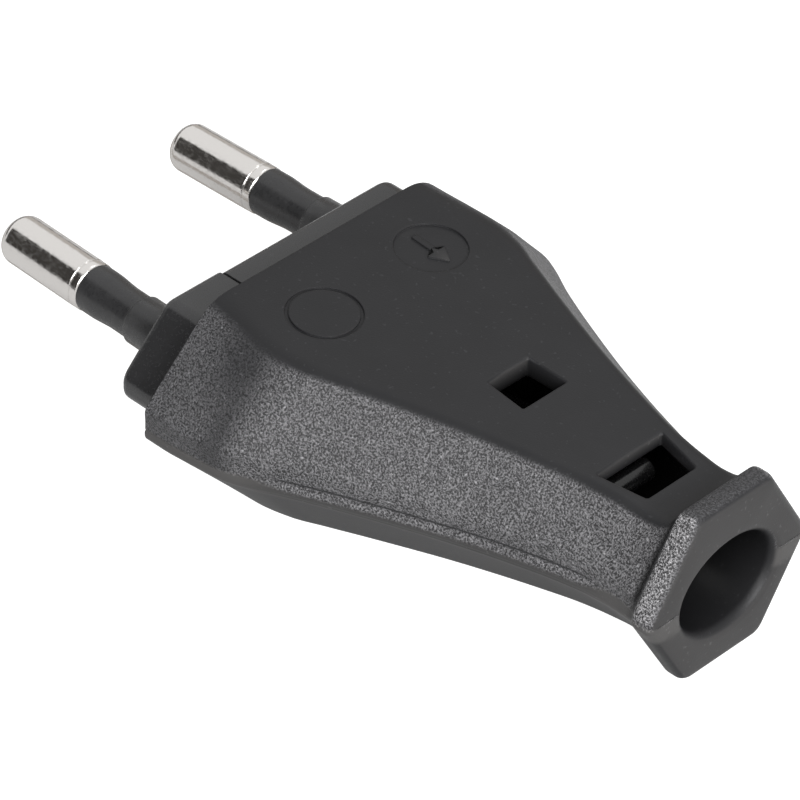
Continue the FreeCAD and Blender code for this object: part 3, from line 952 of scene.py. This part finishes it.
def write_masks(mesh):
    count = len(mesh.vertices)
    places = np.empty(count * 3)
    normals = np.empty(count * 3)
    mesh.vertices.foreach_get("co", places)
    mesh.vertex_normals.foreach_get("vector", normals)
    x, y, z = places.reshape(-1, 3).T
    nx, ny, nz = normals.reshape(-1, 3).T
    depth, sizes = outside_distance(np.clip(x, RIM_X, END_X), y, z)
    rear = END_X - x
    outer = 1 - ramp(np.minimum(depth, rear + 0.3), 0.35, 0.6)
    limit = seam_height(x) + 0.12 - 0.66 * tapering(x)
    upper = ramp(z - limit, -0.2, 0.2)
    grain = outer * grain_share(x, z, sizes[:, 2] - z, nx, ny, nz, upper)
    # Painted light: the wall under the seam and the end face get a lighter colour.
    wall = (1 - upper) * ramp(z, -2.1, -1.4) * (0.9 - 0.4 * tapering(x))
    plain = outer * np.maximum(wall, 0.4 * ramp(nx, 0.7, 0.9))
    # Painted shade: darker deep inside the hood and in the crease at the flange's foot.
    painted_shade = np.maximum(ramp(np.minimum(depth, rear * 0.9), 0.35, 1.9),
                        0.9 * outer * dip(x, CREASE_X, 0.42))
    for label, values in (("grain", grain), ("plain", np.clip(plain, 0, 1)), ("painted_shade", painted_shade)):
        layer = mesh.attributes.new(label, "FLOAT", "POINT")
        layer.data.foreach_set("value", values.astype(np.float32))
    print("grained points:", int((grain > 0.5).sum()), "of", count)


tidy_mesh(hood.data, crease=30)
write_masks(hood.data)
hood.data.transform(Matrix.Scale(MM, 4) @ Matrix.Translation(ORIGIN))


# %% [markdown]
# ## The hood's plastic
# One material covers the whole hood, because in the mould it is one shot of plastic. The masks
# choose between three finishes: dark satin on the flat faces, a plain one on the wall under the
# seam and the end face with a lighter colour that is painted light, and a coarse, lighter grain on
# the sloping sides, where the colour of every bump is brightened as a painted spark of light. Deep
# inside and in the crease, the colour falls away as painted shade.

# %% Hood material
# The plain colour is painted light on the wall under the seam and the end face; the inside colour
# is painted shade deep inside and in the crease.
FLAT_COLOUR, PAINTED_LIGHT_COLOUR = (0.025, 0.025, 0.027), (0.130, 0.126, 0.124)
GRAIN_COLOUR, PAINTED_SHADE_COLOUR = (0.074, 0.073, 0.075), (0.004, 0.004, 0.004)
HOOD_GLOSS, HOOD_IOR = 0.24, 1.48


def reading(tree, label):
    """Output of the mask that the mesh keeps under this label."""
    return add(tree, "ShaderNodeAttribute", attribute_name=label).outputs["Fac"]


def blended(tree, share, first, second):
    """Colour between two, each a socket or an (r, g, b) value."""
    node = add(tree, "ShaderNodeMix", data_type="RGBA")
    feed(tree, node.inputs[0], share)
    for slot, colour in ((6, first), (7, second)):
        feed(tree, node.inputs[slot], (*colour, 1) if isinstance(colour, tuple) else colour)
    return node.outputs[2]


hood_plastic, tree = new_material("hood_plastic")
place = add(tree, "ShaderNodeTexCoord").outputs["Object"]
grain_mask, painted_light_mask, painted_shade_mask = (reading(tree, k) for k in ("grain", "plain", "painted_shade"))
grain = add(tree, "ShaderNodeGroup", node_tree=grain_group, Vector=place, Size=7000,
            Edge=0.00014, Strength=1.0, Depth=between(tree, grain_mask, 0.000003, 0.00013))
flat_colour = blended(tree, painted_light_mask, FLAT_COLOUR, PAINTED_LIGHT_COLOUR)
outer_colour = blended(tree, grain_mask, flat_colour, GRAIN_COLOUR)
tone = add(tree, "ShaderNodeGroup", node_tree=tone_group, Vector=place, Color=outer_colour,
           Clouds=0.07, Specks=0.8)
# Painted highlight: each grain bump's colour is brightened up to five times as a spark of light.
grained = maths(tree, "MULTIPLY", grain_mask, grain.outputs["Grain"])
painted_sparks = scaled_colour(tree, tone.outputs["Color"], between(tree, grained, 0.58, 5.0))
satin = between(tree, grain_mask, 0.44, 0.30)
shader = add(tree, "ShaderNodeBsdfPrincipled", IOR=HOOD_IOR, Normal=grain.outputs["Normal"],
             Roughness=between(tree, painted_shade_mask, satin, 0.26),
             **{"Specular IOR Level": HOOD_GLOSS,
                "Base Color": blended(tree, painted_shade_mask, painted_sparks, PAINTED_SHADE_COLOUR)})
add(tree, "ShaderNodeOutputMaterial", Surface=shader.outputs[0])

hood.data.materials.clear()
hood.data.materials.append(hood_plastic)
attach(hood, "root")
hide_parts("housing")
print("hood dressed in", hood_plastic.name)


# %% [markdown]
# ## The insert and screws
# The insert keeps the construction model's own solids, because their shapes are right as they
# are. They only get their plastic. The terminal screws sit deep inside and get plain steel.

# %% Finish on the solids that stay
def dress(name, material):
    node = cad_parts[name]
    node.data.materials.clear()
    node.data.materials.append(material)
    print(name, "wears", material.name)


dress("carrier", insert_plastic)
dress("left_pin_block", insert_plastic)
dress("terminal_screws", screw_steel)
